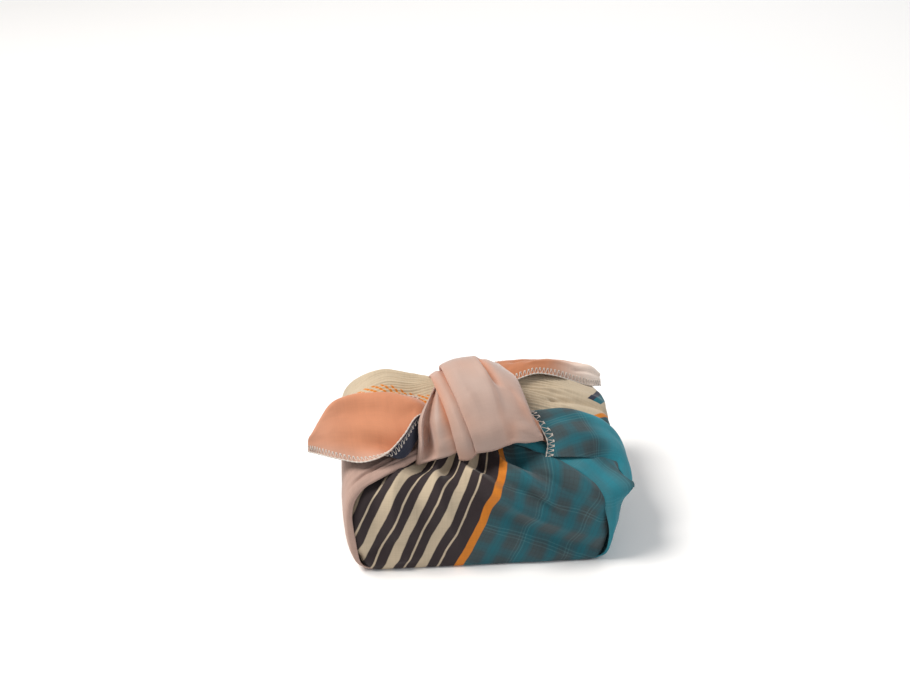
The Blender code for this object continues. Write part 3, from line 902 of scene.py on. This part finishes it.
# The second grain here and the line below it place painted light: the loose corner's teal is
# lightened along its top and outer end.
CORNER_GRAIN, RIM_LIGHT_GRAIN = 20, -62
RIM_LIGHT_FROM, RIM_LIGHT_SOFT, RIM_LIGHT_SHARE = 34, 16, 0.7
RIB_PITCH, RIB_WIDE, RIB_SHARE = 2.2, 0.5, 0.25


def ear_dye(tree, place):
    """Peach, shaded off to rose beige at the hem and a little at the tip."""
    across, out = x_and_y(tree, place)
    colour = mixed(tree, step(tree, across, EAR_PEACH_FROM, EAR_PEACH_SOFT), ROSE, PEACH)
    tip = product(tree, step(tree, out, EAR_ROSE_FROM, EAR_ROSE_SOFT), EAR_ROSE_SHARE)
    return mixed(tree, tip, colour, ROSE)


def petal_dye_and_shade(tree, place):
    """Deep peach by the knot, partly painted shade from the knot, shaded off to pale cream at the
    tip.
    """
    _, out = x_and_y(tree, place)
    return mixed(tree, step(tree, out, PALE_FROM, PALE_SOFT), PEACH_WITH_KNOT_SHADE, PALE_CREAM)


def navy_dye(tree, place):
    """Navy, with fine paler ribs."""
    across, _ = x_and_y(tree, place)
    ribs = product(tree, lines(tree, across, RIB_PITCH, RIB_WIDE), RIB_SHARE)
    return mixed(tree, ribs, NAVY, TEAL_DULL)


def corner_print_and_light(tree, place):
    """The teal check, with painted light along the top and the outer end."""
    check = teal_field(tree, *grain_places(tree, place, CORNER_GRAIN))
    outer, _ = grain_places(tree, place, RIM_LIGHT_GRAIN)
    painted_light = product(tree, step(tree, outer, RIM_LIGHT_FROM, RIM_LIGHT_SOFT), RIM_LIGHT_SHARE)
    return mixed(tree, painted_light, check, TEAL_PAINTED_LIGHT)


EAR_FINISH = {"contrast": 0.1, "roughness": 0.66, "sheen": 0.35}
ear_cotton = cotton("fine plain-woven cotton, peach ear", ear_dye, **EAR_FINISH)
petal_cotton = cotton("fine plain-woven cotton, pale ear", petal_dye_and_shade, **EAR_FINISH)
navy_cotton = cotton("printed plain-woven cotton, navy", navy_dye)
corner_cotton = cotton("printed plain-woven cotton, teal", corner_print_and_light)

THREAD = 0.24  # the radius of a bulky overlock thread
STITCH_PITCH, STITCH_DEEP = 2.8, 3.6
# Each loop lies over the edge and reaches in to its needle stitch: how far along the stitch each of
# its points is, and how far in.
LOOP = ((0.0, 0), (0.38, 0.86), (0.5, 1.0), (0.62, 0.86))
# The needle stitch is a plump dash: how far along each of its points is, and how thick.
NEEDLE = ((0.24, 0.6), (0.36, 1.4), (0.5, 1.7), (0.64, 1.4), (0.76, 0.6))
CHAIN_THICK, CHAIN_SWELL, CHAIN_STEPS = 1.7, 0.5, 8  # along the edge, plump once in each stitch
OVER_EDGE = 0.3  # how far a loop lies outside the edge
LIFT = 0.7  # the middle of a thread lies this share of its radius above the cloth
NEAR, ONWARD = 1.5, 0.01  # how far in, and along, the directions at a stitch are measured
SEARCH_FROM = 4  # the cloth under a stitch is looked for from this far outside it
HALVINGS = 12  # how often the way in to a stitch is halved to find its place
STRAY = 4.6  # further than this from its place, a stitch would lie on another fold


def overlock(name, cloth, edge, length, material):
    """An overlocked edge: loops over it on both faces, a chain on it and a row of needle stitches.

    edge(t) is a point of the edge, and edge(t, s) one a share s of the way into the cloth.
    """
    def inside(t, deep):
        low, high = 0.0, 0.5
        for _ in range(HALVINGS):
            middle = (low + high) / 2
            if (edge(t, middle) - edge(t)).length < deep:
                low = middle
            else:
                high = middle
        return edge(t, low)

    def on_cloth(t, deep, side):
        place = inside(t, deep) if deep > 0 else edge(t)
        into = (inside(t, NEAR) - edge(t)).normalized()
        onward = (edge(min(t + ONWARD, 1)) - edge(max(t - ONWARD, 0))).normalized()
        out = onward.cross(into).normalized() * side
        if deep <= 0:
            return place - into * OVER_EDGE
        _, near, normal, _ = cloth.closest_point_on_mesh((place + out * SEARCH_FROM) * MM)
        if (near / MM - place).length > STRAY:
            return place + out * THREAD
        return near / MM + normal * THREAD * LIFT

    count = round(length / STITCH_PITCH)
    steps = CHAIN_STEPS * count
    paths = [[
        (edge(k / steps), CHAIN_THICK + CHAIN_SWELL * math.cos(k * math.tau / CHAIN_STEPS))
        for k in range(steps + 1)
    ]]
    for side in (1, -1):
        paths.append([
            (on_cloth((k + part) / count, deep * STITCH_DEEP, side), 1.0)
            for k in range(count) for part, deep in LOOP
        ])
        for k in range(count):
            paths.append([
                (on_cloth((k + part) / count, STITCH_DEEP, side), thick)
                for part, thick in NEEDLE
            ])
    curve = bpy.data.curves.new(name, "CURVE")
    curve.dimensions = "3D"
    curve.bevel_depth = THREAD * MM
    curve.bevel_resolution = 1
    curve.use_fill_caps = True
    for path in paths:
        spline = curve.splines.new("POLY")
        spline.points.add(len(path) - 1)
        for point, (place, radius) in zip(spline.points, path):
            point.co = (*(place * MM), 1)
            point.radius = radius
    obj = bpy.data.objects.new(name, curve)
    bpy.context.scene.collection.objects.link(obj)
    pick(obj)
    bpy.ops.object.convert(target="MESH")
    obj = bpy.context.object
    obj.data.name = name
    obj.data.materials.append(material)
    bpy.ops.object.shade_smooth()
    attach(obj, "root")
    return obj


def edge_of(rows, which="front", start=0.0):
    """One edge of a free corner, as edge(t, s): "front", "far", or "inner", its first section."""
    sections = {}

    def edge(t, s=0.0):
        along, across = (s, t) if which == "inner" else (start + (1 - start) * t, s)
        if along not in sections:
            sections[along] = section(rows, along)
        return corner_point(sections[along], 1 - across if which == "far" else across)

    return edge


FLUFF_SCALE = 900.0
thread, thread_surface = new_material("spun polyester sewing thread")
thread_tree = thread.node_tree
in_space = add(thread_tree, "ShaderNodeTexCoord", {}, out=3)
fluff = mottled(thread_tree, in_space, FLUFF_SCALE, 1.0)
fluff = mixed(thread_tree, fluff, linear("#e3dad1"), linear("#b7aca2"))
thread_tree.links.new(fluff, thread_surface.inputs["Base Color"])
thread_surface.inputs["Roughness"].default_value = 0.55
thread_surface.inputs["Sheen Weight"].default_value = 0.2

OUT_OF_KNOT = 0.1  # the share of the left ear that lies in the knot, and shows no stitches

left_ear, ear_flat = lay("left_ear", LEFT_EAR, corner_point, along=120, across=80, wide=56)
face_out(left_ear, (-60, -5, 40))
press(left_ear, ear_flat, creases=table(
    CREASE,
    ((4, 6), (12, 40), (4, 84), 7, -1.6),
    ((-6, 8), (-14, 22), (-15, 52), 4, -2.0),
    ((-2, 20), (-6, 40), (-6, 78), 5, 0.7),
), uneven=0.45, seed=12.0)
give_thickness(left_ear, [ear_cotton, navy_cotton], thick=0.6, wrong_side=1)
left_hem = edge_of(LEFT_EAR, start=OUT_OF_KNOT)
left_far = edge_of(LEFT_EAR, "far", start=OUT_OF_KNOT)
left_stitches = overlock("left_ear_overlock", left_ear, left_hem, 96, thread)
left_far_stitches = overlock("left_ear_far_overlock", left_ear, left_far, 78, thread)

right_ear, right_ear_flat = lay(
    "right_ear", RIGHT_EAR, corner_point, along=110, across=60, wide=34
)
face_out(right_ear, (50, 30, 40))
press(right_ear, right_ear_flat, creases=table(
    CREASE,
    ((2, 4), (4, 40), (-2, 80), 3.4, -1.8),
    ((-6, 20), (-6, 44), (4, 84), 2.4, 1.2),
    ((8, 40), (4, 60), (9, 88), 2.2, -1.2),
    ((-8, 58), (-3, 70), (-2, 90), 1.8, -1.0),
), uneven=0.6, seed=14.0)
give_thickness(right_ear, [petal_cotton, left_cotton], thick=0.6, wrong_side=1)
right_hem, right_far = edge_of(RIGHT_EAR), edge_of(RIGHT_EAR, "far")
right_stitches = overlock("right_ear_overlock", right_ear, right_hem, 88, thread)
right_far_stitches = overlock("right_ear_far_overlock", right_ear, right_far, 76, thread)

corner, corner_flat = lay("loose_corner", CORNER, corner_point, along=120, across=80, wide=46)
face_out(corner, (60, 0, 30))
press(corner, corner_flat, creases=table(
    CREASE,
    ((6, 2), (4, 40), (0, 90), 5, -1.0),
    ((-4, 2), (-8, 30), (-10, 60), 4, 0.8),
), uneven=0.4, seed=16.0)
give_thickness(corner, [corner_cotton, ear_cotton], thick=0.6, wrong_side=1)
corner_hem = edge_of(CORNER, "inner")
corner_stitches = overlock("loose_corner_overlock", corner, corner_hem, 35, thread)


# ----------------------------------------------------------------------------------------------
# The ground is one large sheet of matt white paper, and the bundle stands on it. Three soft lamps
# light it, mostly from the left, and the camera looks down on it from the front.
# ----------------------------------------------------------------------------------------------

bpy.ops.object.select_all(action="DESELECT")
bpy.ops.mesh.primitive_plane_add(size=8)
floor = bpy.context.object
floor.name = "floor"
paper, paper_surface = new_material("matt white paper")
paper_surface.inputs["Base Color"].default_value = linear("#fbfbfb")
paper_surface.inputs["Roughness"].default_value = 0.9
floor.data.materials.append(paper)


def lamp(name, place, aim, size, watts, colour):
    """A soft square lamp, turned towards a place."""
    light = bpy.data.lights.new(name, "AREA")
    light.size, light.energy, light.color = size, watts, linear(colour)[:3]
    obj = bpy.data.objects.new(name, light)
    bpy.context.scene.collection.objects.link(obj)
    obj.location = place
    obj.rotation_euler = (Vector(aim) - Vector(place)).to_track_quat("-Z", "Y").to_euler()


lamp("window", (-0.8, -0.02, 1.3), aim=(0, 0, 0.05), size=0.6, watts=22, colour="#fffaf4")
lamp("fill", (1.1, -0.7, 0.8), aim=(0, 0, 0.04), size=1.2, watts=3.5, colour="#f2f6ff")
lamp("back", (0.5, 1.1, 1.0), aim=(0, 0, 0.06), size=1.0, watts=5, colour="#ffffff")
world = bpy.data.worlds.new("studio")
bpy.context.scene.world = world
world.use_nodes = True
world.node_tree.nodes["Background"].inputs[0].default_value = linear("#ffffff")
world.node_tree.nodes["Background"].inputs[1].default_value = 0.38
bpy.context.scene.view_settings.view_transform = "Standard"

CAMERA_DOWN, CAMERA_TURN = 31.27, -4.264  # degrees down from level, and to the right

camera = bpy.data.objects.new("camera", bpy.data.cameras.new("camera"))
bpy.context.scene.collection.objects.link(camera)
camera.data.lens = 60
camera.data.sensor_width = 36
camera.data.clip_start = 0.01
camera.location = (-0.06782, -0.77523, 0.58990)
camera.rotation_euler = (math.radians(90 - CAMERA_DOWN), 0, math.radians(CAMERA_TURN))
bpy.context.scene.camera = camera
